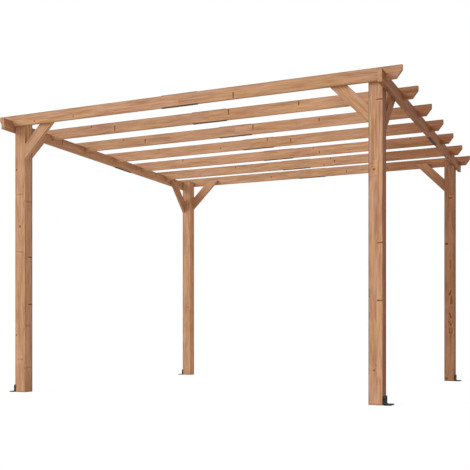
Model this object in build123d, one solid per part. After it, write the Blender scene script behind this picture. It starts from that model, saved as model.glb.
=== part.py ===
"""Open timber pergola: four square posts, a pair of side beams, a row of notched rafters and knee braces.

Millimetres, +Z up. The origin is on the ground in the middle of the plan, X runs along the rafters
and Y runs from the front to the back.
"""

import os
from math import cos, radians, tan

from build123d import *

# Plan, over the outer faces of the posts
plan_width = 2800.0
plan_depth = 2800.0

# Timber sections
post_size = 90.0
board_thickness = 26.0
board_height = 80.0
arris_radius = 2.0

# Level of the rafters and how deep their notches drop over the side beams
rafter_underside = 1990.0
notch_depth = 40.0

# Boards past the outer faces of the posts
rafter_overhang = 125.0
beam_overhang = 125.0

# Rafter row and the shaped rafter tails
rafter_count = 7
tail_nose_height = 30.0
tail_cut_length = 38.0

# Knee braces, measured from the face of the post
brace_angle_degrees = 45.0
brace_reach = 246.0
brace_lap = 40.0

# Flat steel plates over the butt joints of the boards
splice_length = 276.0
splice_width = 25.0
splice_thickness = 2.5
splice_corner_cut = 3.0
splice_clearance = 3.0

# Steel angles that hold the feet of the posts
bracket_thickness = 6.0
bracket_height = 56.0
bracket_reach = 52.0
bracket_width = 104.0
bracket_bend_radius = 6.0
bracket_corner_radius = 8.0
bracket_hole_diameter = 9.0
bracket_hole_spacing = 64.0
bracket_hole_setback = 20.0

# How far a cutting shape reaches past the wood or steel it cuts
cut_overrun = 10.0

# Levels and places that follow from the sizes above
beam_top = rafter_underside + notch_depth
beam_underside = beam_top - board_height
half_width = plan_width / 2
half_depth = plan_depth / 2
rafter_end = half_width + rafter_overhang
beam_end = half_depth + beam_overhang
rafter_pitch = (plan_depth + board_thickness) / (rafter_count - 1)
front_rafter_y = -half_depth - board_thickness / 2
joint_rafter_y = front_rafter_y + rafter_count // 2 * rafter_pitch
beam_joint_y = joint_rafter_y + board_thickness / 2 + splice_clearance + splice_length / 2


def board(start, length):
    """Planed board with eased arrises, on edge, run out along the normal of its starting plane."""
    return extrude(start * RectangleRounded(board_thickness, board_height, arris_radius), amount=length)


def rafter_half(y):
    """Right half of a rafter: butt end at mid-span, notch over the side beam and a nosed, undercut tail."""
    middle = Vector(0, y, rafter_underside + board_height / 2)
    timber = board(Plane(middle, x_dir=(0, 1, 0), z_dir=(1, 0, 0)), rafter_end)
    notch_height = notch_depth + cut_overrun
    notch_middle = (half_width + board_thickness / 2, y, rafter_underside + notch_depth - notch_height / 2)
    notch = Pos(*notch_middle) * Box(board_thickness, board_thickness + cut_overrun, notch_height)
    nose_bottom = rafter_underside + board_height - tail_nose_height
    tail_start = rafter_end - tail_cut_length
    undercut = make_face(
        Polyline(
            (rafter_end, nose_bottom),
            (tail_start, rafter_underside),
            (tail_start, rafter_underside - cut_overrun),
            (rafter_end + cut_overrun, rafter_underside - cut_overrun),
            (rafter_end + cut_overrun, nose_bottom),
            close=True,
        )
    )
    tail = extrude(Plane.XZ.offset(-y) * undercut, amount=board_thickness / 2 + cut_overrun, both=True)
    return timber - notch - tail


def beam_piece(y_low, y_high):
    """Length of the right side beam, held against the outer faces of the posts."""
    middle = Vector(half_width + board_thickness / 2, y_low, beam_top - board_height / 2)
    return board(Plane(middle, x_dir=(-1, 0, 0), z_dir=(0, 1, 0)), y_high - y_low)


def post():
    """Square post at the back right, as tall as the top of the side beams."""
    section = RectangleRounded(post_size, post_size, arris_radius)
    return extrude(Pos(half_width - post_size / 2, half_depth - post_size / 2) * section, amount=beam_top)


def brace(board_underside):
    """Knee brace drawn from the face of its post, plumb at the foot and level at the top of its lap."""
    rise = tan(radians(brace_angle_degrees))
    plumb_cut = board_height / cos(radians(brace_angle_degrees))
    foot = board_underside - brace_reach * rise
    top = board_underside + brace_lap
    outline = Polyline(
        (0, foot),
        ((top - foot) / rise, top),
        ((top - foot - plumb_cut) / rise, top),
        (0, foot + plumb_cut),
        close=True,
    )
    timber = extrude(Plane.XZ * make_face(outline), amount=board_thickness)
    slope = Axis((0, 0, 0), (1, 0, rise))
    return fillet(timber.edges().filter_by(slope), arris_radius)


def rafter_brace():
    """Brace from the back right post to the back rafter, lapping the rafter's inner face."""
    return Pos(half_width - post_size, half_depth, 0) * mirror(brace(rafter_underside), about=Plane.YZ)


def beam_brace():
    """Brace from the back right post to the right beam, lapping the beam's inner face."""
    place = Pos(half_width, half_depth - post_size, 0) * Rot(0, 0, -90)
    return place * brace(beam_underside)


def splice_plates(place, board_low):
    """Pair of flat plates with clipped corners over a butt joint, one below the board and one on top."""
    outline = chamfer(Rectangle(splice_length, splice_width).vertices(), splice_corner_cut)
    plate = extrude(outline, amount=splice_thickness)
    below = Pos(0, 0, board_low - splice_thickness) * place * plate
    above = Pos(0, 0, board_low + board_height) * place * plate
    return Compound(children=[below, above])


def foot_bracket():
    """Bent steel angle on the outer face of the back right post, with bolt holes in both legs."""
    centre_line = FilletPolyline(
        (bracket_thickness / 2, bracket_height),
        (bracket_thickness / 2, bracket_thickness / 2),
        (bracket_reach, bracket_thickness / 2),
        radius=bracket_bend_radius + bracket_thickness / 2,
    )
    profile = Plane.XZ * trace(centre_line, line_width=bracket_thickness)
    angle = extrude(profile, amount=bracket_width / 2, both=True)
    top_corners = angle.edges().filter_by(Axis.X).group_by(Axis.Z)[-1]
    tip_corners = angle.edges().filter_by(Axis.Z).group_by(Axis.X)[-1]
    angle = fillet(top_corners + tip_corners, bracket_corner_radius)
    drill = Cylinder(bracket_hole_diameter / 2, bracket_thickness + cut_overrun)
    for side in (-1, 1):
        y = side * bracket_hole_spacing / 2
        angle -= Pos(bracket_reach - bracket_hole_setback, y, bracket_thickness / 2) * drill
        angle -= Pos(bracket_thickness / 2, y, bracket_height - bracket_hole_setback) * Rot(0, 90, 0) * drill
    return Pos(half_width, half_depth - post_size / 2, 0) * angle


def at_each_corner(piece):
    """The same piece at the four corners of the plan, by the corner's name."""
    front = mirror(piece, about=Plane.XZ)
    return {
        "back_right": piece,
        "back_left": mirror(piece, about=Plane.YZ),
        "front_right": front,
        "front_left": mirror(front, about=Plane.YZ),
    }


def pergola():
    """Every piece of the pergola in its place, by name."""
    pieces = {}
    for corner, piece in at_each_corner(post()).items():
        pieces[f"post_{corner}"] = piece
    for corner, piece in at_each_corner(rafter_brace()).items():
        pieces[f"brace_{corner}_rafter"] = piece
    for corner, piece in at_each_corner(beam_brace()).items():
        pieces[f"brace_{corner}_beam"] = piece
    for corner, piece in at_each_corner(foot_bracket()).items():
        pieces[f"foot_bracket_{corner}"] = piece

    beam_lengths = {"front": (-beam_end, beam_joint_y), "back": (beam_joint_y, beam_end)}
    for end, (y_low, y_high) in beam_lengths.items():
        piece = beam_piece(y_low, y_high)
        pieces[f"beam_right_{end}"] = piece
        pieces[f"beam_left_{end}"] = mirror(piece, about=Plane.YZ)
    beam_x = half_width + board_thickness / 2
    plates = splice_plates(Pos(beam_x, beam_joint_y) * Rot(0, 0, 90), beam_underside)
    pieces["beam_right_splice_plates"] = plates
    pieces["beam_left_splice_plates"] = mirror(plates, about=Plane.YZ)

    for row in range(rafter_count):
        y = front_rafter_y + row * rafter_pitch
        piece = rafter_half(y)
        pieces[f"rafter_{row + 1}_right"] = piece
        pieces[f"rafter_{row + 1}_left"] = mirror(piece, about=Plane.YZ)
        pieces[f"rafter_{row + 1}_splice_plates"] = splice_plates(Pos(0, y), rafter_underside)
    return pieces


os.makedirs("parts", exist_ok=True)
for name, piece in pergola().items():
    export_step(piece, f"parts/{name}.step")
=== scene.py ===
"""Looks of an open timber pergola: stained softwood, coated steel, screw heads and a white studio.

The frame gives every piece its size and place, in metres, +Z up. Timber is shaded as solid wood, so that
growth rings, fibres and branch knots run through a piece from its faces to its end grain.
"""

import logging
import math
from dataclasses import dataclass, replace
from enum import Enum
from functools import partial, reduce
from typing import ClassVar

import bpy
import numpy as np
from mathutils import Matrix, Vector

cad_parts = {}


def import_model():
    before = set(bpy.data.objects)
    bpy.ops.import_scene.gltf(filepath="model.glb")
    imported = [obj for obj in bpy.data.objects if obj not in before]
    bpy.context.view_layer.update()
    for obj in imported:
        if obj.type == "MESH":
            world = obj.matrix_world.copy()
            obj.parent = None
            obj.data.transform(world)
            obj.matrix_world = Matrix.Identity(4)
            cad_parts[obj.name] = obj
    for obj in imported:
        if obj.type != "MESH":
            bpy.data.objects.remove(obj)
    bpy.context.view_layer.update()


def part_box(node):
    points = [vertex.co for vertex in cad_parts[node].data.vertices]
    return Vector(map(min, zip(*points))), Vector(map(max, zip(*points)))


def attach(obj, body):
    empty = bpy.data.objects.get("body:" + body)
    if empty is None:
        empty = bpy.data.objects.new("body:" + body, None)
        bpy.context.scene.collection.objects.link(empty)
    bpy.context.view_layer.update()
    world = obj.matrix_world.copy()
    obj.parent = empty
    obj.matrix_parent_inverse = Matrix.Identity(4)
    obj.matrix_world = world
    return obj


LOG = logging.getLogger("pergola")
BODY = "root"
RAFTER_COUNT = 7
RAFTER_ROWS = range(1, RAFTER_COUNT + 1)

Socket = bpy.types.NodeSocket
Sockets = dict[str, Socket]
Value = float | tuple[float, ...] | Socket
Inputs = dict[int | str, Value]
Span = tuple[float, float]
Point = tuple[float, float, float]
Places = list[Point | np.ndarray]
Colour = tuple[float, float, float, float]

ACROSS: Point = (1.0, 0.0, 0.0)
INWARD: Point = (0.0, 1.0, 0.0)
UPRIGHT: Point = (0.0, 0.0, 1.0)
WHITE: Colour = (1.0, 1.0, 1.0, 1.0)

# The middle of a noise's values, and the tilt at which a camera or a lamp points level
NOISE_MIDDLE = 0.5
LEVEL_DEGREES = 90.0


class SocketKind(Enum):
    """Kinds of value that an effect takes or gives."""

    NUMBER = "NodeSocketFloat"
    VECTOR = "NodeSocketVector"
    COLOUR = "NodeSocketColor"


class Slot(Enum):
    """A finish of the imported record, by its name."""

    STEEL = "black_steel"


class Way(Enum):
    """A way across the plan, with the sign of its axis."""

    @property
    def word(self) -> str:
        """The way's name in the names of the pieces."""
        return self.name.lower()


class Side(Way):
    """Left and right of the plan, with the sign of X."""

    LEFT = -1
    RIGHT = 1


class End(Way):
    """Front and back of the plan, with the sign of Y."""

    FRONT = -1
    BACK = 1


def corners() -> dict[str, tuple[End, Side]]:
    """The four corners of the plan by name, front left first."""
    return {f"{end.word}_{side.word}": (end, side) for end in End for side in Side}


@dataclass(frozen=True)
class Bumps:
    """Scales of a noise: bumps for each metre across and along a piece, octaves and their roughness."""

    across: float
    along: float
    detail: float = 2.0
    roughness: float = 0.5


class Wiring:
    """Adds nodes to one node tree and links them, taking sockets or plain values alike."""

    def __init__(self, tree: bpy.types.NodeTree) -> None:
        """Keeps the tree that the nodes go into."""
        self.tree = tree

    @classmethod
    def blank(cls, owner: bpy.types.Material | bpy.types.World) -> "Wiring":
        """Clears the nodes of a new material or world.

        Args:
            owner: the material or world.

        Returns:
            The wiring of its tree.
        """
        owner.use_nodes = True
        owner.node_tree.nodes.clear()
        return cls(owner.node_tree)

    def add(self, kind: str, inputs: Inputs | None = None, **settings: object) -> bpy.types.Node:
        """Adds a node.

        Args:
            kind: the node's type name.
            inputs: sockets to link or values to set, by the names or numbers of the node's inputs.
            settings: properties of the node.

        Returns:
            The new node.
        """
        node = self.tree.nodes.new(kind)
        for name, setting in settings.items():
            setattr(node, name, setting)
        for name, value in (inputs or {}).items():
            if isinstance(value, bpy.types.NodeSocket):
                self.tree.links.new(value, node.inputs[name])
            else:
                node.inputs[name].default_value = value
        return node

    def maths(self, operation: str, *values: Value, clamp: bool = False) -> Socket:
        """Adds a Math node on values in order, which may hold its result between 0 and 1."""
        inputs = dict(enumerate(values))
        return self.add("ShaderNodeMath", inputs, operation=operation, use_clamp=clamp).outputs[0]

    def times(self, first: Value, *others: Value) -> Socket:
        """Adds the product of numbers."""
        return reduce(partial(self.maths, "MULTIPLY"), others, first)

    def vectors(self, operation: str, *values: Value) -> Socket:
        """Adds a Vector Math node on vectors in order, which gives a length or a dot product as a number."""
        node = self.add("ShaderNodeVectorMath", dict(enumerate(values)), operation=operation)
        return node.outputs["Value" if operation in ("LENGTH", "DOT_PRODUCT") else "Vector"]

    def scaled(self, vector: Value, factor: Value) -> Socket:
        """Adds a vector times a number."""
        inputs = {"Vector": vector, "Scale": factor}
        return self.add("ShaderNodeVectorMath", inputs, operation="SCALE").outputs["Vector"]

    def smooth(self, value: Value, low: Value, high: Value) -> Socket:
        """Adds a smooth step of a value, 0 at low and 1 at high, which may lie below low."""
        inputs = {"Value": value, "From Min": low, "From Max": high}
        return self.add("ShaderNodeMapRange", inputs, interpolation_type="SMOOTHSTEP").outputs["Result"]

    def noise(self, point: Value, bumps: Bumps) -> Socket:
        """Adds a noise from about -0.5 to 0.5.

        Args:
            point: where it is read, with the piece along its third axis.
            bumps: its scales.

        Returns:
            The noise's socket.
        """
        stretched = self.vectors("MULTIPLY", point, (bumps.across, bumps.across, bumps.along))
        inputs = {"Vector": stretched, "Scale": 1.0, "Detail": bumps.detail, "Roughness": bumps.roughness}
        return self.maths("SUBTRACT", self.add("ShaderNodeTexNoise", inputs).outputs[0], NOISE_MIDDLE)

    def split(self, vector: Value) -> tuple[Socket, Socket, Socket]:
        """Adds a split of a vector into its three numbers."""
        return tuple(self.add("ShaderNodeSeparateXYZ", {0: vector}).outputs)

    def joined(self, x: Value, y: Value, z: Value) -> Socket:
        """Adds a vector made of three numbers."""
        return self.add("ShaderNodeCombineXYZ", {0: x, 1: y, 2: z}).outputs[0]

    def blend(self, share: Value, first: Value, second: Value, mode: str = "MIX") -> Socket:
        """Adds a mix of two colours, with a share of the second put onto the first."""
        inputs = {0: share, 6: first, 7: second}
        return self.add("ShaderNodeMix", inputs, data_type="RGBA", blend_type=mode).outputs[2]

    def tinted(self, colour: Value, tint: Value) -> Socket:
        """Adds a colour times another."""
        return self.blend(1.0, colour, tint, "MULTIPLY")

    def surface(self, colour: Value, roughness: Value, specular: float, height: Value, relief: Span) -> None:
        """Adds a bumped surface and the material's output.

        Args:
            colour: the base colour.
            roughness: how matt it is.
            specular: how strong its gloss is.
            height: the height that shows as a bump.
            relief: strength of the bump, and how many metres high a height of 1 stands.
        """
        bump = self.add("ShaderNodeBump", {"Strength": relief[0], "Distance": relief[1], "Height": height})
        inputs = {"Base Color": colour, "Roughness": roughness, "Specular IOR Level": specular}
        shader = self.add("ShaderNodeBsdfPrincipled", inputs | {"Normal": bump.outputs[0]})
        self.add("ShaderNodeOutputMaterial", {"Surface": shader.outputs[0]})


def sockets(kind: SocketKind, *names: str) -> dict[str, SocketKind]:
    """Values of one kind that an effect takes or gives, by name."""
    return dict.fromkeys(names, kind)


class Effect:
    """A shader node group, built once and placed in each material with its own values."""

    title: str = ""
    takes: dict[str, SocketKind] = {}
    gives: dict[str, SocketKind] = {}

    def wire(self, wiring: Wiring, given: Sockets) -> Sockets:
        """Adds the effect's own nodes.

        Args:
            wiring: the group's wiring.
            given: the values that the effect takes.

        Returns:
            The values that it gives.
        """
        raise NotImplementedError

    def tree(self) -> bpy.types.NodeTree:
        """Builds the group the first time it is asked for.

        Returns:
            The group's node tree.
        """
        found = bpy.data.node_groups.get(self.title)
        if found is not None:
            return found
        tree = bpy.data.node_groups.new(self.title, "ShaderNodeTree")
        for in_out, kinds in (("INPUT", self.takes), ("OUTPUT", self.gives)):
            for name, kind in kinds.items():
                tree.interface.new_socket(name=name, in_out=in_out, socket_type=kind.value)
        wiring = Wiring(tree)
        entry = wiring.add("NodeGroupInput")
        made = self.wire(wiring, {name: entry.outputs[name] for name in self.takes})
        wiring.add("NodeGroupOutput", made)
        return tree

    def place(self, wiring: Wiring, **values: Value) -> Sockets:
        """Places the group in the wiring of a material or another group, with its values by name."""
        node = wiring.add("ShaderNodeGroup", values, node_tree=self.tree())
        return {name: node.outputs[name] for name in self.gives}


class BranchKnot(Effect):
    """One branch that the saw cut open, added to the knots before it.

    The branch is a cone about an axis: a point's share of the knot falls off smoothly where its distance from
    the axis passes the cone's radius there, and the fibres swell round it as a bell of that distance. The
    pairs say where each starts and is full, in shares of the radius at the rim and of the reach at the ends.
    """

    title = "branch_knot"
    takes = sockets(SocketKind.VECTOR, "point", "place", "branch") | sockets(
        SocketKind.NUMBER, "reach", "radius", "share", "dark_before", "swell_before"
    )
    gives = sockets(SocketKind.NUMBER, "dark", "swell")
    taper_share: float = 0.2
    rim_shares: Span = (1.35, 0.6)
    end_shares: Span = (1.1, 0.85)
    swell_width_share: float = 3.2
    swell_end_shares: Span = (1.6, 0.8)

    def wire(self, wiring: Wiring, given: Sockets) -> Sockets:
        """Adds the cone, its soft rim and the swelling round it.

        Args:
            wiring: the group's wiring.
            given: the values that the effect takes.

        Returns:
            The values that it gives.
        """
        away = wiring.vectors("SUBTRACT", given["point"], given["place"])
        along = wiring.vectors("DOT_PRODUCT", away, given["branch"])
        off = wiring.vectors("SUBTRACT", away, wiring.scaled(given["branch"], along))
        distance = wiring.vectors("LENGTH", off)
        run = wiring.maths("DIVIDE", along, given["reach"])
        past = wiring.maths("ABSOLUTE", run)
        taper = wiring.maths("MULTIPLY_ADD", run, self.taper_share, 1.0 - self.taper_share)
        ratio = wiring.maths("DIVIDE", distance, wiring.times(given["radius"], taper))
        inside = wiring.smooth(past, *self.end_shares)
        core = wiring.times(wiring.smooth(ratio, *self.rim_shares), inside, given["share"])
        width = wiring.times(given["radius"], self.swell_width_share)
        spread = wiring.maths("DIVIDE", distance, width)
        bell = wiring.maths("EXPONENT", wiring.times(spread, spread, -1.0))
        swell = wiring.times(bell, wiring.smooth(past, *self.swell_end_shares), given["radius"])
        return {
            "dark": wiring.maths("MAXIMUM", given["dark_before"], core),
            "swell": wiring.maths("ADD", given["swell_before"], swell),
        }


class GrowthRings(Effect):
    """Growth rings about a pith that runs along the piece, leaning a little.

    The ring number is the wavy distance from the pith, with a share of the swelling round knots, divided by a
    ring's width. Within each ring the wood darkens slowly to the latewood and then drops back.
    """

    title = "growth_rings"
    takes = sockets(SocketKind.VECTOR, "grain", "pith") | sockets(SocketKind.NUMBER, "swell", "ring_width")
    gives = sockets(SocketKind.NUMBER, "late")
    wave: Bumps = Bumps(11.0, 1.3)
    wave_height: float = 0.022
    lean: float = 0.012
    swell_share: float = 0.8
    rise_shares: Span = (0.25, 0.9)
    drop_shares: Span = (1.0, 0.9)

    def wire(self, wiring: Wiring, given: Sockets) -> Sockets:
        """Adds the wavy distance from the pith and the dark line in each ring.

        Args:
            wiring: the group's wiring.
            given: the values that the effect takes.

        Returns:
            The values that it gives.
        """
        across, up, run = wiring.split(wiring.vectors("SUBTRACT", given["grain"], given["pith"]))
        leaning = wiring.maths("MULTIPLY_ADD", run, self.lean, across)
        distance = wiring.vectors("LENGTH", wiring.joined(leaning, up, 0.0))
        wave = wiring.noise(given["grain"], self.wave)
        wavy = wiring.maths("MULTIPLY_ADD", wave, self.wave_height, distance)
        swollen = wiring.maths("MULTIPLY_ADD", given["swell"], self.swell_share, wavy)
        ring = wiring.maths("FRACT", wiring.maths("DIVIDE", swollen, given["ring_width"]))
        rise = wiring.smooth(ring, *self.rise_shares)
        return {"late": wiring.times(rise, wiring.smooth(ring, *self.drop_shares))}


class FibreStreaks(Effect):
    """Streaks along the grain: broad and narrow bands, fine fibres and a slow drift of hue.

    Each is a noise of the grain's own coordinates, stretched along the piece.
    """

    streaks: dict[str, Bumps] = {
        "broad": Bumps(38.0, 3.4, roughness=0.6),
        "narrow": Bumps(120.0, 8.0, roughness=0.6),
        "fine": Bumps(520.0, 14.0, roughness=0.6),
        "hue": Bumps(28.0, 4.0, detail=1.0),
    }
    title = "fibre_streaks"
    takes = sockets(SocketKind.VECTOR, "grain")
    gives = sockets(SocketKind.NUMBER, *streaks)

    def wire(self, wiring: Wiring, given: Sockets) -> Sockets:
        """Adds the four noises."""
        return {name: wiring.noise(given["grain"], bumps) for name, bumps in self.streaks.items()}


class PooledArris(Effect):
    """Stain that gathered along the arrises, in a line with breaks.

    A point is on a long arris where its distances from both pairs of side faces are under the line's widths,
    and on an end's arris where those from an end and from one pair are. The lean says which long arrises took
    it: all four at 0, those where the two section coordinates have one sign at 1, and the other two at -1.
    """

    title = "pooled_arris"
    takes = sockets(SocketKind.VECTOR, "section", "half", "widths") | sockets(SocketKind.NUMBER, "lean")
    gives = sockets(SocketKind.NUMBER, "pooled")
    breaks: Bumps = Bumps(60.0, 14.0)
    whole_share: float = 0.85

    def wire(self, wiring: Wiring, given: Sockets) -> Sockets:
        """Adds the distance from the nearest arris and its breaks along the piece.

        Args:
            wiring: the group's wiring.
            given: the values that the effect takes.

        Returns:
            The values that it gives.
        """
        inset = wiring.vectors("SUBTRACT", given["half"], wiring.vectors("ABSOLUTE", given["section"]))
        across, up, run = wiring.split(wiring.vectors("DIVIDE", inset, given["widths"]))
        first, second, _ = wiring.split(given["section"])
        same = wiring.maths("SIGN", wiring.times(first, second))
        taken = wiring.maths("MULTIPLY_ADD", same, given["lean"], 1.0, clamp=True)
        corner = wiring.smooth(wiring.maths("MAXIMUM", across, up), 1.0, 0.0)
        face = wiring.maths("MINIMUM", across, up)
        end = wiring.smooth(wiring.maths("MAXIMUM", face, run), 1.0, 0.0)
        line = wiring.maths("MAXIMUM", wiring.times(corner, taken), end)
        breaks = wiring.noise(given["section"], self.breaks)
        whole = wiring.maths("ADD", breaks, self.whole_share, clamp=True)
        return {"pooled": wiring.times(line, whole)}


class StainRise(Effect):
    """Painted shade, a darker stain that stands in for shade, that deepens along a direction, from the share
    before it smoothly to another share.
    """

    title = "stain_rise"
    takes = sockets(SocketKind.VECTOR, "point", "direction") | sockets(
        SocketKind.NUMBER, "starts", "ends", "depth_before", "share"
    )
    gives = sockets(SocketKind.NUMBER, "depth")

    def wire(self, wiring: Wiring, given: Sockets) -> Sockets:
        """Adds the rise along the direction.

        Args:
            wiring: the group's wiring.
            given: the values that the effect takes.

        Returns:
            The values that it gives.
        """
        run = wiring.vectors("DOT_PRODUCT", given["point"], given["direction"])
        rise = wiring.smooth(run, given["starts"], given["ends"])
        more = wiring.maths("SUBTRACT", given["share"], given["depth_before"])
        return {"depth": wiring.maths("MULTIPLY_ADD", rise, more, given["depth_before"], clamp=True)}


@dataclass(frozen=True)
class StainedSoftwood(Effect):
    """Planed softwood under a light brown stain: colour, roughness and height over the surface.

    The plain wood has a ground share of the dark colour, to which latewood and the broad, narrow and fine
    streaks add theirs. Swollen fibres are lighter, and heights are measured against the fine fibres'.
    """

    pale: Colour = (0.62, 0.357, 0.213, 1.0)
    dark: Colour = (0.355, 0.163, 0.079, 1.0)
    rosy_tint: Colour = (1.0, 0.995, 1.08, 1.0)
    honey_tint: Colour = (1.0, 1.005, 0.9, 1.0)
    deep_tint: Colour = (0.5, 0.36, 0.295, 1.0)
    end_tint: Colour = (0.95, 0.97, 1.0, 1.0)
    pooled_tint: Colour = (0.44, 0.5, 0.58, 1.0)
    branch: Colour = (0.19, 0.066, 0.0125, 1.0)
    branch_share: float = 0.87
    ground_share: float = 0.27
    late_share: float = 0.22
    streak_shares: Point = (1.45, 1.6, 0.6)
    hue_span: Span = (-0.25, 0.25)
    swell_light: float = 10.0
    plain_roughness: float = 0.62
    fine_roughness: float = 0.25
    knot_roughness: float = -0.14
    late_height: float = 0.6
    knot_height: float = 0.5

    title = "stained_softwood"
    takes = sockets(SocketKind.VECTOR, "grain", "section", "half", "pith", "pool_widths") | sockets(
        SocketKind.NUMBER,
        *("ring_width", "end", "knot", "swell", "depth", "end_depth", "light", "pool_depth", "pool_lean"),
    )
    gives = sockets(SocketKind.COLOUR, "colour") | sockets(SocketKind.NUMBER, "roughness", "height")

    def wire(self, wiring: Wiring, given: Sockets) -> Sockets:
        """Puts rings, streaks, knots, end grain and pooled stain together.

        Args:
            wiring: the group's wiring.
            given: the values that the effect takes.

        Returns:
            The values that it gives.
        """
        late = GrowthRings().place(wiring, **{name: given[name] for name in GrowthRings.takes})["late"]
        streaks = FibreStreaks().place(wiring, grain=given["grain"])
        pool = {"widths": given["pool_widths"], "lean": given["pool_lean"]}
        edge = PooledArris().place(wiring, section=given["section"], half=given["half"], **pool)["pooled"]
        edge = wiring.times(edge, given["pool_depth"])

        dark = wiring.maths("MULTIPLY_ADD", late, self.late_share, self.ground_share)
        for name, share in zip(("broad", "narrow", "fine"), self.streak_shares):
            dark = wiring.maths("MULTIPLY_ADD", streaks[name], share, dark, clamp=name == "fine")
        colour = wiring.blend(dark, self.pale, self.dark)
        drift = wiring.smooth(streaks["hue"], *self.hue_span)
        colour = wiring.tinted(colour, wiring.blend(drift, self.rosy_tint, self.honey_tint))
        knot = wiring.times(given["knot"], self.branch_share)
        colour = wiring.blend(knot, colour, self.branch)
        colour = wiring.blend(edge, colour, wiring.tinted(colour, self.pooled_tint))
        colour = wiring.blend(given["end"], colour, wiring.tinted(colour, self.end_tint))
        # Painted shade: the depth and end_depth darken side grain and end grain by the painted shade tint,
        # standing in for shade.
        side_grain = wiring.maths("SUBTRACT", 1.0, given["end"])
        depth = wiring.times(given["depth"], side_grain)
        depth = wiring.maths("MULTIPLY_ADD", given["end"], given["end_depth"], depth)
        colour = wiring.blend(depth, colour, wiring.tinted(colour, self.deep_tint))
        light = wiring.maths("MULTIPLY_ADD", given["swell"], self.swell_light, given["light"])

        rough = wiring.maths("MULTIPLY_ADD", streaks["fine"], self.fine_roughness, self.plain_roughness)
        rough = wiring.maths("MULTIPLY_ADD", given["knot"], self.knot_roughness, rough)
        height = wiring.maths("MULTIPLY_ADD", late, self.late_height, streaks["fine"])
        height = wiring.maths("MULTIPLY_ADD", given["knot"], self.knot_height, height)
        return {"colour": wiring.scaled(colour, light), "roughness": rough, "height": height}


class CoatMottle(Effect):
    """Fine orange peel of a powder coat, and the faint dust that lies on it, as two noises of the place."""

    title = "coat_mottle"
    takes = sockets(SocketKind.VECTOR, "point")
    gives = sockets(SocketKind.NUMBER, "peel", "dust")
    peel: Bumps = Bumps(700.0, 700.0)
    dust: Bumps = Bumps(26.0, 26.0, detail=4.0, roughness=0.65)
    dust_span: Span = (-0.05, 0.3)

    def wire(self, wiring: Wiring, given: Sockets) -> Sockets:
        """Adds the peel and the dust."""
        dust = wiring.smooth(wiring.noise(given["point"], self.dust), *self.dust_span)
        return {"peel": wiring.noise(given["point"], self.peel), "dust": dust}


@dataclass(frozen=True)
class Knot:
    """A branch in a piece of timber.

    Its place is the middle of the part that shows, and its reach half of that part's length. The branch runs
    along the face for a dash and into it for a round knot. The radius is that of its thick end.
    """

    place: Point
    branch: Point
    reach: float
    radius: float
    share: float = 1.0


@dataclass(frozen=True)
class Rise:
    """A stretch of a piece, from a start to an end along a direction, where painted shade deepens.

    Attributes:
        share: share of the painted shade past the end.
        skin: depths below a face at which painted shade on that face alone starts and is full.
    """

    share: float
    starts: float
    ends: float
    direction: Point = ACROSS
    skin: ClassVar[Span] = (0.0025, 0.0005)

    @classmethod
    def on_right(cls, share: float, face: float) -> "Rise":
        """Painted shade on the face that looks right alone, from the X of that face."""
        return cls(share, face - cls.skin[0], face - cls.skin[1])


@dataclass(frozen=True)
class Pool:
    """Stain that gathered along a piece's arrises.

    The widths of its line are along the section's two sides and along the piece, and the lean says which
    arrises took it: all four at 0, or one pair of opposite ones at 1 or -1.
    """

    share: float = 0.4
    widths: Point = (0.007, 0.007, 0.007)
    lean: float = 0.0


@dataclass(frozen=True)
class Stain:
    """How one piece took the stain, and the shade painted on it.

    The light is that of the whole piece. A share of painted shade, a darker stain that stands in for shade,
    covers all but the end grain, which has its own, and each of the rises goes on top of those before it.
    """

    light: float = 1.0
    share: float = 0.0
    end_share: float = 0.0
    rises: tuple[Rise, ...] = ()
    pool: Pool = Pool()


def middle_and_half(node: str) -> tuple[Vector, Vector]:
    """Middle and half size of a CAD node's box."""
    low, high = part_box(node)
    return (low + high) / 2, (high - low) / 2


@dataclass(frozen=True)
class Stick:
    """One length of timber, as its material needs it.

    The grain runs along it, and the thickness is the direction of its section's first side, whose half size
    comes first. The seed gives the piece its own grain. The half length is longer than the piece's own where
    no stain gathered round its ends.
    """

    node: str
    along: Point
    thickness: Point
    middle: Point
    half: Span
    seed: int
    stain: Stain
    knots: list[Knot]
    half_length: float = 1.0

    @classmethod
    def on_axes(cls, node: str, along: Point, thickness: Point, *rest: int | Stain | list[Knot]) -> "Stick":
        """A length that lies along the frame's axes, with its sizes read from the frame.

        Args:
            node: name of the CAD node.
            along: axis of the grain, upright where stain gathered round the ends.
            thickness: axis of the section's first side.
            rest: the seed, the stain and the branches.

        Returns:
            The length of timber.
        """
        middle, size = middle_and_half(node)
        sides = (Vector(thickness), Vector(along).cross(Vector(thickness)))
        half = tuple(abs(size.dot(side)) for side in sides)
        half_length = size.z if along == UPRIGHT else cls.half_length
        return cls(node, along, thickness, tuple(middle), half, *rest, half_length)


def dress(node: str, material: bpy.types.Material) -> None:
    """Gives a CAD node a material in place of its own.

    Args:
        node: name of the CAD node.
        material: its new material.
    """
    slots = bpy.data.objects[node].data.materials
    slots.clear()
    slots.append(material)
    LOG.info("dressed %s", node)


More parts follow.
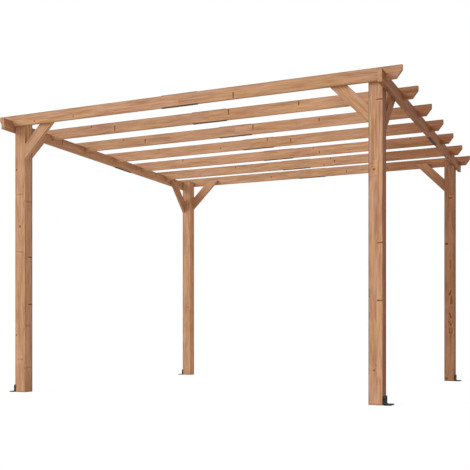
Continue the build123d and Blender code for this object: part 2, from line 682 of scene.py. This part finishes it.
@dataclass(frozen=True)
class SoftwoodFinish:
    """Makes the material of each length of timber, with that piece's own grain, pith and knots.

    The pieces are cut from the same noises, each a step further along them. The pith lies off the middle by a
    share of the section's longer half side, and end grain shows where a face looks along the grain.
    """

    seed_step: float = 3.7
    ring_widths: Span = (0.0034, 0.0052)
    pith_shares: Span = (0.4, 1.5)
    end_shares: Span = (0.6, 0.95)
    specular: float = 0.06
    relief: Span = (0.3, 0.0007)

    def dress(self, stick: Stick) -> None:
        """Gives a length of timber its material.

        Args:
            stick: the length of timber.
        """
        material = bpy.data.materials.new(f"softwood_{stick.node}")
        wiring = Wiring.blank(material)
        point = wiring.add("ShaderNodeTexCoord").outputs["Object"]
        section = self.section(wiring, point, stick)
        cut = stick.seed * self.seed_step
        draw = np.random.default_rng(stick.seed)
        turn = draw.uniform(0.0, 2.0 * math.pi)
        away = draw.uniform(*self.pith_shares) * max(stick.half)

        knot, swell = 0.0, 0.0
        for branch in stick.knots:
            values = vars(branch) | {"branch": tuple(Vector(branch.branch).normalized())}
            made = BranchKnot().place(wiring, point=point, dark_before=knot, swell_before=swell, **values)
            knot, swell = made["dark"], made["swell"]
        # Painted shade: the piece's share of darker stain and each rise on top of it, standing in for shade.
        depth = stick.stain.share
        for rise in stick.stain.rises:
            depth = StainRise().place(wiring, point=point, depth_before=depth, **vars(rise))["depth"]

        normal = wiring.add("ShaderNodeNewGeometry").outputs["Normal"]
        facing = wiring.maths("ABSOLUTE", wiring.vectors("DOT_PRODUCT", normal, stick.along))
        wood = StainedSoftwood().place(
            wiring,
            grain=wiring.vectors("ADD", section, (0.0, 0.0, cut)),
            section=section,
            half=(*stick.half, stick.half_length),
            pith=(away * math.cos(turn), away * math.sin(turn), cut),
            ring_width=draw.uniform(*self.ring_widths),
            end=wiring.smooth(facing, *self.end_shares),
            knot=knot,
            swell=swell,
            depth=depth,
            end_depth=stick.stain.end_share,
            light=stick.stain.light,
            pool_depth=stick.stain.pool.share,
            pool_widths=stick.stain.pool.widths,
            pool_lean=stick.stain.pool.lean,
        )
        wiring.surface(wood["colour"], wood["roughness"], self.specular, wood["height"], self.relief)
        dress(stick.node, material)

    def section(self, wiring: Wiring, point: Socket, stick: Stick) -> Socket:
        """Turns a point into the piece's own axes.

        The piece's middle becomes the origin, its thickness the first axis and its grain the third.

        Args:
            wiring: the material's wiring.
            point: the point in the object's axes.
            stick: the length of timber.

        Returns:
            The turned point's socket.
        """
        along, thickness = Vector(stick.along).normalized(), Vector(stick.thickness)
        axes = Matrix((thickness, along.cross(thickness), along)).transposed()
        inputs = {"Vector": point, "Location": stick.middle, "Rotation": tuple(axes.to_euler())}
        return wiring.add("ShaderNodeMapping", inputs, vector_type="TEXTURE").outputs[0]


@dataclass(frozen=True)
class CoatedSteel:
    """Black powder-coated steel, painted light brown above a height, a painted light that stands in for light
    on the tops.
    """

    title: str = "powder_coated_steel"
    coat: Colour = (0.017, 0.0125, 0.0105, 1.0)
    dusty: Colour = (0.034, 0.026, 0.0215, 1.0)
    # Painted light: the light brown of the steel above the height, standing in for light on the tops.
    stain: Colour = (0.4, 0.265, 0.18, 1.0)
    stain_from: float = 2.0
    stain_run: float = 0.001
    coat_roughness: float = 0.55
    dust_roughness: float = 0.2
    specular: float = 0.08
    relief: Span = (0.25, 0.0003)

    def material(self) -> bpy.types.Material:
        """Builds the material the first time it is asked for.

        Returns:
            The material.
        """
        found = bpy.data.materials.get(self.title)
        if found is not None:
            return found
        material = bpy.data.materials.new(self.title)
        wiring = Wiring.blank(material)
        point = wiring.add("ShaderNodeTexCoord").outputs["Object"]
        mottle = CoatMottle().place(wiring, point=point)
        # Painted light: steel above the height takes the light brown, standing in for light on the tops.
        over = wiring.smooth(wiring.split(point)[2], self.stain_from, self.stain_from + self.stain_run)
        coat = wiring.blend(mottle["dust"], self.coat, self.dusty)
        rough = wiring.maths("MULTIPLY_ADD", mottle["dust"], self.dust_roughness, self.coat_roughness)
        colour = wiring.blend(over, coat, self.stain)
        wiring.surface(colour, rough, self.specular, mottle["peel"], self.relief)
        return material


def new_object(name: str, data: bpy.types.ID) -> bpy.types.Object:
    """Makes an object and puts it in the scene.

    Args:
        name: the object's name.
        data: its mesh, light or camera.

    Returns:
        The object.
    """
    made = bpy.data.objects.new(name, data)
    bpy.context.scene.collection.objects.link(made)
    return made


@dataclass
class HeadShape:
    """Screw heads as a surface of two parameters, the angle about the axis and the place on the profile.

    A head's seat is at z 0 and its axis is up. Sides and caps are the vertex numbers of its faces, and the
    caps close the first and the last ring. An axis that lies along X by its share is turned by Y, not by X.
    """

    points: np.ndarray
    sides: np.ndarray
    caps: np.ndarray
    lying_share: ClassVar[float] = 0.8

    @classmethod
    def turned(cls, radii: np.ndarray, heights: np.ndarray) -> "HeadShape":
        """Turns a profile about the axis.

        A point at angle t on ring i lies at (r cos t, r sin t, h), with r and h read from the grids.

        Args:
            radii: radius for each ring and angle.
            heights: height for each ring and angle.

        Returns:
            The closed surface.
        """
        angle = np.linspace(0.0, 2.0 * np.pi, radii.shape[1], endpoint=False)
        points = np.stack([radii * np.cos(angle), radii * np.sin(angle), heights], axis=-1).reshape(-1, 3)
        number = np.arange(radii.size).reshape(radii.shape)
        beside = np.roll(number, -1, axis=1)
        sides = np.stack([number[:-1], beside[:-1], beside[1:], number[1:]], axis=-1).reshape(-1, 4)
        return cls(points, sides, np.stack([number[0, ::-1], number[-1]]))

    def at(self, places: np.ndarray, axes: np.ndarray) -> "HeadShape":
        """Copies of the head, each at its place with its axis along the one given.

        Every copy's points are its three axes times the head's points, plus its place.

        Args:
            places: seats of the heads.
            axes: unit directions in which the heads stand up.

        Returns:
            All the copies as one surface.
        """
        helper = np.where(np.abs(axes[:, :1]) < self.lying_share, [ACROSS], [INWARD])
        first = np.cross(helper, axes)
        first /= np.linalg.norm(first, axis=1, keepdims=True)
        turn = np.stack([first, np.cross(axes, first), axes], axis=1)
        points = np.einsum("pk,cki->cpi", self.points, turn) + places[:, None, :]
        shift = len(self.points) * np.arange(len(places))[:, None, None]
        sides = (self.sides + shift).reshape(-1, self.sides.shape[1])
        caps = (self.caps + shift).reshape(-1, self.caps.shape[1])
        return HeadShape(points.reshape(-1, 3), sides, caps)

    def piece(self, name: str, material: bpy.types.Material) -> None:
        """Makes the surface a piece of the object, riding on the pergola's body.

        Args:
            name: the piece's name.
            material: its material.
        """
        faces = self.sides.tolist() + self.caps.tolist()
        mesh = bpy.data.meshes.new(name)
        mesh.from_pydata(self.points.tolist(), [], faces)
        mesh.materials.append(material)
        piece = new_object(name, mesh)
        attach(piece, BODY)
        LOG.info("made %s, %d faces", name, len(faces))


@dataclass(frozen=True)
class WoodScrew:
    """Low pan head with a six-point recess, given in shares of the head's radius and rise.

    The levels are those of the seat, the rim, the crown, the recess's mouth and its floor. The floor's share
    is of the mouth.
    """

    radius: float = 0.0045
    rise: float = 0.0016
    angles: int = 12
    crown_share: float = 0.8
    star_shares: Span = (0.52, 0.36)
    floor_share: float = 0.9
    level_shares: tuple[float, ...] = (0.0, 0.45, 0.95, 1.0, 0.25)

    def head(self) -> HeadShape:
        """The head: a rim, a crown and a star-shaped recess, each a ring of radii at a level.

        Returns:
            The head as a closed surface.
        """
        star = np.where(np.arange(self.angles) % 2 == 0, *self.star_shares)
        rim = np.ones(self.angles)
        shares = np.stack([rim, rim, self.crown_share * rim, star, self.floor_share * star])
        levels = np.array(self.level_shares)[:, None] * rim
        return HeadShape.turned(shares * self.radius, levels * self.rise)

    def drive(self, name: str, seats: Places, axes: Places, material: bpy.types.Material) -> None:
        """Sets screws as one piece, from their seats and the unit directions in which they stand up."""
        heads = self.head().at(np.reshape(seats, (-1, 3)), np.reshape(axes, (-1, 3)))
        heads.piece(name, material)


@dataclass
class Posts:
    """Four square posts, with a wider line of stain along the arrises of the right ones."""

    finish: SoftwoodFinish
    first_seed: int = 11
    left_pool: Pool = Pool(1.0, (0.012, 0.022, 0.012), 1.0)
    right_pool: Pool = Pool(1.0, (0.012, 0.05, 0.012), 1.0)

    def stains(self) -> dict[str, Stain]:
        """How each post took the stain, with painted shade: darker all over on the back right post, and
        darker still on the outer faces of the right posts.

        Returns:
            The stains by corner.
        """
        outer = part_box("post_back_right")[1].x
        front_rise, back_rise = (Rise.on_right(share, outer) for share in (0.9, 1.0))
        return {
            "front_left": Stain(pool=self.left_pool),
            "front_right": Stain(rises=(front_rise,), pool=self.right_pool),
            "back_left": Stain(pool=self.left_pool),
            "back_right": Stain(share=0.68, rises=(back_rise,), pool=self.right_pool),
        }

    def knots(self, width: float) -> dict[str, list[Knot]]:
        """The branches that show on each post, measured from its left face, its front face and its foot.

        Args:
            width: width of a post.

        Returns:
            The branches by corner.
        """
        left = front = 0.0
        right = back = width
        return {
            "front_left": [
                Knot((0.048, front, 0.246), ACROSS, 0.03, 0.009, 0.4),
                Knot((0.011, front, 0.428), INWARD, 0.012, 0.008),
                Knot((0.044, front, 1.052), (1.0, 0.0, -0.16), 0.036, 0.008, 0.4),
                Knot((0.044, front, 1.242), INWARD, 0.012, 0.012),
                Knot((0.042, front, 1.482), ACROSS, 0.032, 0.009, 0.4),
                Knot((0.012, front, 1.669), INWARD, 0.012, 0.01),
                Knot((right, 0.045, 0.184), INWARD, 0.045, 0.006, 0.45),
                Knot((right, 0.034, 0.498), INWARD, 0.028, 0.01, 0.5),
                Knot((right, 0.064, 0.659), INWARD, 0.03, 0.007),
                Knot((right, 0.06, 0.982), INWARD, 0.026, 0.005, 0.4),
                Knot((right, 0.06, 1.014), INWARD, 0.026, 0.007),
                Knot((right, 0.045, 1.43), INWARD, 0.045, 0.007, 0.5),
                Knot((left, 0.04, 0.86), (1.0, 0.0, 0.2), 0.012, 0.008),
            ],
            "front_right": [
                Knot((0.036, front, 0.215), INWARD, 0.012, 0.008),
                Knot((0.007, front, 0.551), UPRIGHT, 0.022, 0.004, 0.55),
                Knot((0.074, front, 0.645), (-1.0, 0.0, 0.0), 0.02, 0.006),
                Knot((0.007, front, 0.692), UPRIGHT, 0.03, 0.005, 0.55),
                Knot((0.074, front, 1.0), ACROSS, 0.02, 0.005),
                Knot((0.036, front, 1.453), INWARD, 0.012, 0.011),
                Knot((0.07, front, 1.882), ACROSS, 0.024, 0.0055),
            ],
            "back_left": [
                Knot((0.054, front, 0.71), ACROSS, 0.018, 0.004),
                Knot((0.048, front, 1.234), INWARD, 0.012, 0.01, 0.6),
                Knot((0.048, back, 1.02), INWARD, 0.012, 0.009),
            ],
            "back_right": [
                Knot((0.018, front, 0.022), ACROSS, 0.012, 0.009),
                Knot((0.056, front, 0.442), ACROSS, 0.02, 0.006, 0.8),
                Knot((0.045, front, 0.462), UPRIGHT, 0.026, 0.006, 0.8),
                Knot((0.071, front, 0.464), UPRIGHT, 0.022, 0.006, 0.8),
                Knot((0.051, front, 0.53), (0.55, 0.0, -1.0), 0.026, 0.0055),
                Knot((0.069, front, 0.53), (-0.45, 0.0, -1.0), 0.026, 0.005, 0.8),
                Knot((0.054, front, 0.603), (0.3, 0.0, -1.0), 0.028, 0.009),
                Knot((0.063, front, 0.743), (0.0, 0.0, -1.0), 0.038, 0.009),
                Knot((0.053, front, 0.808), (-0.35, 0.0, -1.0), 0.026, 0.011),
                Knot((0.057, front, 1.07), UPRIGHT, 0.045, 0.008, 0.6),
                Knot((0.019, front, 1.261), ACROSS, 0.014, 0.012),
                Knot((0.054, front, 1.679), ACROSS, 0.018, 0.008),
                Knot((0.061, front, 1.71), INWARD, 0.012, 0.01),
                Knot((0.052, back, 0.93), INWARD, 0.012, 0.009),
                Knot((right, 0.042, 0.58), ACROSS, 0.012, 0.007),
            ],
        }

    def build(self) -> None:
        """Dresses the four posts."""
        for seed, (corner, stain) in enumerate(self.stains().items(), self.first_seed):
            node = f"post_{corner}"
            low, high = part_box(node)
            knots = self.knots(high.x - low.x)[corner]
            knots = [replace(knot, place=tuple(low + Vector(knot.place))) for knot in knots]
            self.finish.dress(Stick.on_axes(node, UPRIGHT, ACROSS, seed, stain, knots))


@dataclass
class Beams:
    """Two side beams, each of two lengths, with branches on the inner faces.

    Pairs of the painted shade's shares, a darker stain that stands in for shade, are for the left and the
    right beam, over the whole beam and towards its top. Where it rises, and where the branches lie along a
    length, is in shares of the half height and the half length from the middle.
    """

    finish: SoftwoodFinish
    first_seed: int = 31
    low_shares: Span = (0.0, 0.8)
    top_shares: Span = (0.42, 1.0)
    rise_shares: Span = (-0.6, 0.9)
    light_step: float = 0.03
    knot_shares: Point = (-0.7, -0.145, 0.87)
    knot_height: float = 0.008
    knot_reach: float = 0.022
    knot_radius: float = 0.007

    def build(self) -> None:
        """Dresses the four lengths, the back ones a step lighter and the front ones a step darker."""
        seed = self.first_seed
        for side, low_shade, top_shade in zip(Side, self.low_shares, self.top_shares):
            for end in End:
                node = f"beam_{side.word}_{end.word}"
                middle, half = middle_and_half(node)
                # Painted shade: darker towards the top, where the rafters shade the beam, and over the whole
                # right beam.
                starts, ends = (middle.z + share * half.z for share in self.rise_shares)
                rises = (Rise(top_shade, starts, ends, UPRIGHT),)
                stain = Stain(light=1.0 + self.light_step * end.value, share=low_shade, rises=rises)
                inner, height = middle.x - side.value * half.x, middle.z + self.knot_height
                places = [(inner, middle.y + share * half.y, height) for share in self.knot_shares]
                knots = [Knot(place, UPRIGHT, self.knot_reach, self.knot_radius) for place in places]
                self.finish.dress(Stick.on_axes(node, INWARD, ACROSS, seed, stain, knots))
                seed += 1


@dataclass
class Rafters:
    """Rafters, each of two halves that meet at mid-span, with painted shade towards the right ends.

    The painted shade is a darker stain that stands in for shade. The pairs of its shares and starts are for
    the second and the back rafter, and those of the tails and the end grain for the front rafter and the
    others.
    The dashes are branches on the front faces, front rafter first: place from mid-span, height above the
    underside and half length. The branch on a half's back face moves by a step from row to row, in shares of
    the half length.
    """

    finish: SoftwoodFinish
    first_seed: int = 51
    deep_shares: Span = (0.66, 0.78)
    deep_from: Span = (1.17, 0.59)
    deep_run: float = 0.2
    tail_shares: Span = (0.24, 0.8)
    tail_shade_from: float = 1.34
    tail_shade_run: float = 0.1
    # Painted shade on the end grain of the right ends, for the front rafter and the others.
    end_shares: Span = (0.5, 0.95)
    left_lights: tuple[float, ...] = (1.01, 0.95, 0.94, 1.0, 0.98, 0.94, 0.94)
    right_lights: tuple[float, ...] = (0.97, 1.02, 1.0, 0.96, 1.01, 0.97, 0.98)
    pool: Pool = Pool(0.75, lean=-1.0)
    dash_radius: float = 0.007
    dashes: tuple[tuple[Point, ...], ...] = (
        ((0.407, 0.023, 0.02), (-0.86, 0.018, 0.006), (-1.204, 0.02, 0.008)),
        ((-0.805, 0.032, 0.024), (-1.017, 0.065, 0.008), (0.159, 0.052, 0.022), (0.697, 0.056, 0.014)),
        ((-0.81, 0.033, 0.018), (-1.02, 0.062, 0.009), (0.154, 0.055, 0.02), (0.692, 0.053, 0.012)),
        ((-0.945, 0.07, 0.007), (-0.344, 0.029, 0.006), (0.087, 0.062, 0.014), (0.293, 0.038, 0.016)),
        ((-0.951, 0.068, 0.01), (0.386, 0.026, 0.011), (0.329, 0.064, 0.006), (1.178, 0.067, 0.006)),
        ((-0.62, 0.06, 0.006), (0.379, 0.037, 0.012), (0.34, 0.067, 0.006), (0.279, 0.01, 0.006)),
        ((-0.432, 0.036, 0.008), (0.354, 0.03, 0.01), (0.763, 0.026, 0.008)),
    )
    back_knot_share: float = 0.3
    back_knot_step_share: float = -0.09
    back_knot_drop: float = 0.012
    back_knot_reach: float = 0.02
    back_knot_radius: float = 0.0045

    def stain(self, row: int, side: Side) -> Stain:
        """How one half took the stain, with painted shade on the right halves.

        Args:
            row: number of the rafter, 1 at the front.
            side: which half.

        Returns:
            The half's stain.
        """
        if side is Side.LEFT:
            return Stain(light=self.left_lights[row - 1], pool=self.pool)
        behind = row > 1
        # Painted shade on the tails, and towards the ends of the right halves behind the front rafter.
        rises = (Rise(self.tail_shares[behind], self.tail_shade_from, self.tail_shade_from + self.tail_shade_run),)
        if behind:
            back_share = (row - 2) / (RAFTER_COUNT - 2)
            spans = (self.deep_shares, self.deep_from)
            share, start = (near + (far - near) * back_share for near, far in spans)
            rises = (Rise(share, start, start + self.deep_run), *rises)
        light = self.right_lights[row - 1]
        return Stain(light=light, end_share=self.end_shares[behind], rises=rises, pool=self.pool)

    def build(self) -> None:
        """Dresses both halves of each rafter."""
        for row in RAFTER_ROWS:
            for side in Side:
                self.dress_half(row, side)

    def dress_half(self, row: int, side: Side) -> None:
        """Dresses one half of a rafter.

        Args:
            row: number of the rafter, 1 at the front.
            side: which half.
        """
        node = f"rafter_{row}_{side.word}"
        low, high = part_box(node)
        middle, half = middle_and_half(node)
        knots = [
            Knot((across, low.y, low.z + height), UPRIGHT, reach, self.dash_radius)
            for across, height, reach in self.dashes[row - 1]
            if across * side.value > 0
        ]
        share = self.back_knot_share + self.back_knot_step_share * row
        place = (middle.x + share * half.x, high.y, middle.z - self.back_knot_drop)
        knots.append(Knot(place, UPRIGHT, self.back_knot_reach, self.back_knot_radius))
        seed = self.first_seed + 2 * row + (side is Side.RIGHT)
        self.finish.dress(Stick.on_axes(node, ACROSS, INWARD, seed, self.stain(row, side), knots))


@dataclass
class Braces:
    """Eight knee braces at 45 degrees, each with one branch, a step further along it from seed to seed."""

    finish: SoftwoodFinish
    first_seed: int = 91
    knot_from: float = 0.06
    knot_step: float = -0.01
    knot_cycle: int = 9
    knot_reach: float = 0.016
    knot_radius: float = 0.004

    def stains(self) -> dict[str, Stain]:
        """The braces whose colour differs from the rest: painted shade on the darker ones, darkest on the
        outer face of the back right beam brace, and the front right rafter brace a step lighter.

        Returns:
            The stains by node.
        """
        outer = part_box("brace_back_right_beam")[1].x
        return {
            "brace_front_right_rafter": Stain(light=1.04),
            "brace_front_right_beam": Stain(share=0.86),
            "brace_back_left_beam": Stain(share=0.32),
            "brace_back_right_rafter": Stain(share=0.58),
            "brace_back_right_beam": Stain(share=0.52, rises=(Rise.on_right(0.8, outer),)),
        }

    def build(self) -> None:
        """Dresses the eight braces."""
        seed = self.first_seed
        for end, side in corners().values():
            for board_kind in ("rafter", "beam"):
                self.dress_brace(end, side, board_kind, seed)
                seed += 1

    def dress_brace(self, end: End, side: Side, board_kind: str, seed: int) -> None:
        """Dresses one brace, whose grain runs up its slope and whose section is a rafter's.

        Args:
            end: front or back.
            side: left or right.
            board_kind: which board it carries, "rafter" or "beam".
            seed: the brace's seed.
        """
        node = f"brace_{end.word}_{side.word}_{board_kind}"
        middle, _ = middle_and_half(node)
        _, board = middle_and_half("rafter_1_left")
        to_rafter = board_kind == "rafter"
        away = Vector((-side.value, 0, 0)) if to_rafter else Vector((0, -end.value, 0))
        thickness = Vector(INWARD if to_rafter else ACROSS)
        along = (away + Vector(UPRIGHT)).normalized()
        square = (Vector(UPRIGHT) - away).normalized()
        centre = middle + square * board.z
        face = centre + thickness * board.y if to_rafter else centre - thickness * board.y
        place = face + along * (self.knot_from + self.knot_step * (seed % self.knot_cycle))
        knot = Knot(tuple(place), tuple(square), self.knot_reach, self.knot_radius)
        stain = self.stains().get(node, Stain())
        axes = (tuple(along), tuple(thickness))
        self.finish.dress(Stick(node, *axes, tuple(centre), (board.y, board.z), seed, stain, [knot]))


@dataclass
class SplicePlates:
    """Pairs of flat plates over the butt joints, in a brownish coat with painted light above the finish's
    height, and their staggered screws.
    """

    finish: CoatedSteel = CoatedSteel(
        title="brushed_over_steel", coat=(0.065, 0.031, 0.02, 1.0), dusty=(0.1, 0.055, 0.036, 1.0)
    )
    screw: WoodScrew = WoodScrew()
    screw_shares: tuple[float, ...] = (-0.88, -0.52, -0.16, 0.16, 0.52, 0.88)
    screw_offset: float = 0.0045

    def build(self) -> None:
        """Dresses the plates and sets a row of screws on each, above and below."""
        material = self.finish.material()
        seats, axes = [], []
        shares = np.array(self.screw_shares)
        stagger = self.screw_offset * np.where(np.arange(len(shares)) % 2 == 0, 1.0, -1.0)
        runs = {f"rafter_{row}_splice_plates": (ACROSS, INWARD) for row in RAFTER_ROWS}
        runs |= {f"beam_{side.word}_splice_plates": (INWARD, ACROSS) for side in Side}
        for node, (run, beside) in runs.items():
            dress(node, material)
            middle, half = middle_and_half(node)
            offsets = np.outer(shares * half.dot(Vector(run)), run) + np.outer(stagger, beside)
            line = offsets + np.array(middle)
            for up in (-np.array(UPRIGHT), np.array(UPRIGHT)):
                seats.append(line + half.z * up)
                axes.append(np.tile(up, (len(shares), 1)))
        self.screw.drive("splice_plate_screws", seats, axes, material)


@dataclass
class FootBrackets:
    """Steel angles at the feet, and the screws through their upright legs, whose heads cover the holes."""

    finish: CoatedSteel
    screw: WoodScrew = WoodScrew(radius=0.0075, rise=0.0026)
    hole_setback: float = 0.02
    hole_spacing: float = 0.064
    thickness: float = 0.006

    def build(self) -> None:
        """Dresses the four angles and sets two screws on each upright leg."""
        material = self.finish.material()
        seats, axes = [], []
        for corner, (_, side) in corners().items():
            node = f"foot_bracket_{corner}"
            dress(node, material)
            middle, half = middle_and_half(node)
            face = middle.x - side.value * (half.x - self.thickness)
            height = middle.z + half.z - self.hole_setback
            for off in (-self.hole_spacing / 2, self.hole_spacing / 2):
                seats.append((face, middle.y + off, height))
                axes.append((float(side.value), 0.0, 0.0))
        self.screw.drive("foot_bracket_screws", seats, axes, material)


@dataclass
class RafterScrews:
    """Screws that hold the rafters down on the beams."""

    finish: CoatedSteel
    screw: WoodScrew = WoodScrew()

    def build(self) -> None:
        """Sets a screw through each rafter into each beam, from above."""
        seats = []
        for row in RAFTER_ROWS:
            for side in Side:
                rafter, half = middle_and_half(f"rafter_{row}_{side.word}")
                beam, _ = middle_and_half(f"beam_{side.word}_front")
                seats.append((beam.x, rafter.y, rafter.z + half.z))
        # The heads stand above the steel's height, so they take its painted light.
        self.screw.drive("rafter_screws", seats, [UPRIGHT] * len(seats), self.finish.material())


@dataclass
class Studio:
    """White studio: floor, world, one soft lamp and the camera.

    The horizon's row is that of the level line of sight, and the heading the camera's turn to the left of
    straight ahead. The key light stands at its bearing to the left of the front and at its height, and looks
    its width wide, all in degrees. The floor's glowing share takes no shadow, and its white makes the open
    floor come out white.
    """

    image_side_pixels: float = 470.0
    focal_pixels: float = 820.1
    horizon_row: float = 331.75
    eye: Point = (2.6156, -6.3632, 0.4524)
    heading: float = 23.973
    floor_reach: float = 60.0
    floor_drop: float = 0.0005
    floor_lines: int = 5
    floor_colour: Colour = (0.8, 0.8, 0.8, 1.0)
    floor_glow_share: float = 0.88
    floor_white: float = 1.06
    ambient: float = 0.61
    ambient_tint: Point = (1.08, 0.965, 0.86)
    key: float = 0.58
    key_tint: Point = (0.93, 1.04, 1.1)
    key_bearing: float = 50.0
    key_height: float = 22.0
    key_width: float = 30.0

    def build(self) -> None:
        """Sets up the floor, the world, the lamp, the camera and the view transform."""
        self.floor()
        self.world()
        self.key_light()
        self.camera()
        bpy.context.scene.view_settings.view_transform = "Standard"

    def seen(self, wiring: Wiring) -> Socket:
        """Tells the rays that see from the rays that light.

        Args:
            wiring: the wiring of a material or of the world.

        Returns:
            The socket of 1 for rays from the camera, from gloss and through glass, and 0 for the others.
        """
        rays = wiring.add("ShaderNodeLightPath").outputs
        either = wiring.maths("MAXIMUM", rays["Is Camera Ray"], rays["Is Glossy Ray"])
        return wiring.maths("MAXIMUM", either, rays["Is Transmission Ray"])

    def world(self) -> None:
        """Makes a world that is white where it is seen and an even soft light elsewhere."""
        world = bpy.data.worlds.new("white_studio")
        wiring = Wiring.blank(world)
        shade = tuple(self.ambient * part for part in self.ambient_tint)
        colour = wiring.blend(self.seen(wiring), (*shade, 1.0), WHITE)
        back = wiring.add("ShaderNodeBackground", {"Color": colour})
        wiring.add("ShaderNodeOutputWorld", {"Surface": back.outputs[0]})
        bpy.context.scene.world = world

    def floor(self) -> None:
        """Makes a flat white floor that takes a faint shadow.

        The floor is a grid of two parameters, each from minus to plus its reach.
        """
        run = np.linspace(-self.floor_reach, self.floor_reach, self.floor_lines)
        across, inward = np.meshgrid(run, run)
        points = np.stack([across, inward, np.full_like(across, -self.floor_drop)], axis=-1).reshape(-1, 3)
        number = np.arange(across.size).reshape(across.shape)
        cells = (number[:-1, :-1], number[:-1, 1:], number[1:, 1:], number[1:, :-1])
        faces = np.stack(cells, axis=-1).reshape(-1, 4)
        mesh = bpy.data.meshes.new("floor")
        mesh.from_pydata(points.tolist(), [], faces.tolist())
        floor = new_object("floor", mesh)
        material = bpy.data.materials.new("white_floor")
        wiring = Wiring.blank(material)
        matt = wiring.add("ShaderNodeBsdfDiffuse", {"Color": self.floor_colour})
        glow = wiring.add("ShaderNodeEmission", {"Color": WHITE, "Strength": self.floor_white})
        share = wiring.times(self.seen(wiring), self.floor_glow_share)
        mix = wiring.add("ShaderNodeMixShader", {0: share, 1: matt.outputs[0], 2: glow.outputs[0]})
        wiring.add("ShaderNodeOutputMaterial", {"Surface": mix.outputs[0]})
        mesh.materials.append(material)
        LOG.info("made the floor")

    def key_light(self) -> None:
        """Adds one wide, soft and distant light from the front left, where pi makes a white face white."""
        light = bpy.data.lights.new("front_key", "SUN")
        light.energy = math.pi * self.key
        light.color = self.key_tint
        light.angle = math.radians(self.key_width)
        lamp = new_object("front_key", light)
        tilt, turn = math.radians(LEVEL_DEGREES - self.key_height), math.radians(-self.key_bearing)
        lamp.rotation_euler = (tilt, 0.0, turn)

    def camera(self) -> None:
        """Sets the level camera, with the shift that puts the horizon on its row."""
        data = bpy.data.cameras.new("camera")
        data.lens = data.sensor_width * self.focal_pixels / self.image_side_pixels
        data.shift_y = (self.horizon_row - self.image_side_pixels / 2) / self.image_side_pixels
        camera = new_object("camera", data)
        camera.location = self.eye
        camera.rotation_euler = (math.radians(LEVEL_DEGREES), 0.0, math.radians(self.heading))
        bpy.context.scene.camera = camera


def main() -> None:
    """Loads the frame, dresses and builds each sub-assembly, and sets up the studio."""
    logging.basicConfig(level=logging.INFO, format="%(message)s")
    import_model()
    softwood = SoftwoodFinish()
    steel = CoatedSteel()
    sub_assemblies = (
        Posts(softwood),
        Beams(softwood),
        Rafters(softwood),
        Braces(softwood),
        SplicePlates(),
        FootBrackets(steel),
        RafterScrews(steel),
        Studio(),
    )
    for sub_assembly in sub_assemblies:
        sub_assembly.build()


if __name__ == "__main__":
    main()
